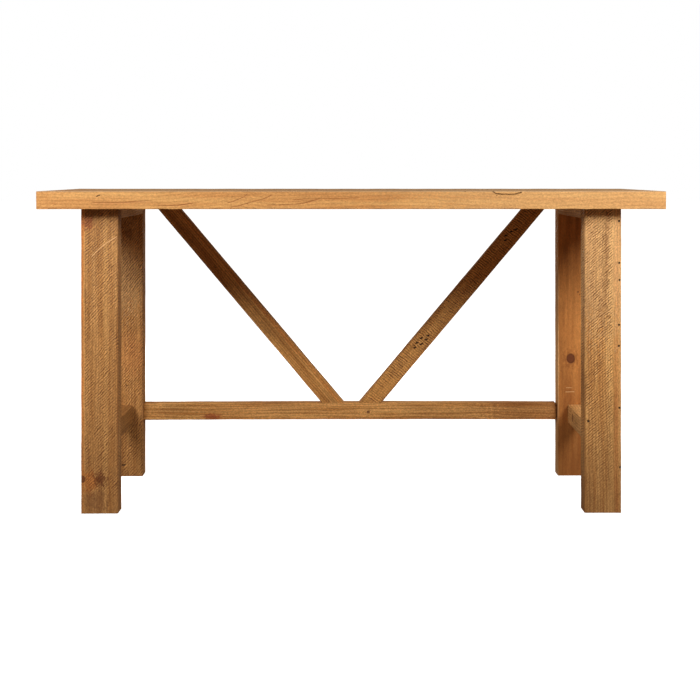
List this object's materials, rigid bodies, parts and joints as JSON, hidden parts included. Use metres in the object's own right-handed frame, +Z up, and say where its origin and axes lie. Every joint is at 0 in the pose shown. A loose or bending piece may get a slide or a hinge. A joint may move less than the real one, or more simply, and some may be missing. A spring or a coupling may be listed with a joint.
{
  "type": "console table",
  "caption": "Long narrow table in solid pine: plank top on leg frames, joined by a low back stretcher with a wide V of slanted braces.",
  "frame": {"origin": "on the floor under the middle of the top", "axes": "+X along the table's length, +Y towards the back where the stretcher and braces are, +Z up"},
  "size_m": [1.5, 0.45, 0.776],
  "materials": {
    "top_pine": "waxed reclaimed pine, planed, honey brown",
    "leg_pine": "waxed reclaimed pine with saw marks and nail holes",
    "rail_pine": "waxed reclaimed pine, darker brown",
    "brace_pine": "waxed reclaimed pine with cross saw marks and nail holes",
    "beech": "plain grooved dowel",
    "zinc_steel": "zinc plated",
    "brass": "machined"
  },
  "bodies": {
    "root": {"top_board_front": "top_pine", "top_board_middle": "top_pine", "top_board_back": "top_pine", "top_dowels": "beech", "leg_front_left": "leg_pine", "leg_front_right": "leg_pine", "leg_back_left": "leg_pine", "leg_back_right": "leg_pine", "side_rail_left": "rail_pine", "side_rail_right": "rail_pine", "top_batten_left": "rail_pine", "top_batten_right": "rail_pine", "stretcher": "rail_pine", "brace_left": "brace_pine", "brace_right": "brace_pine", "batten_bolts": "zinc_steel", "batten_washers": "zinc_steel", "top_inserts": "brass", "stretcher_bolts": "zinc_steel", "stretcher_barrel_nuts": "zinc_steel", "brace_head_screws": "zinc_steel", "brace_foot_screws": "zinc_steel"}
  },
  "joints": []
}
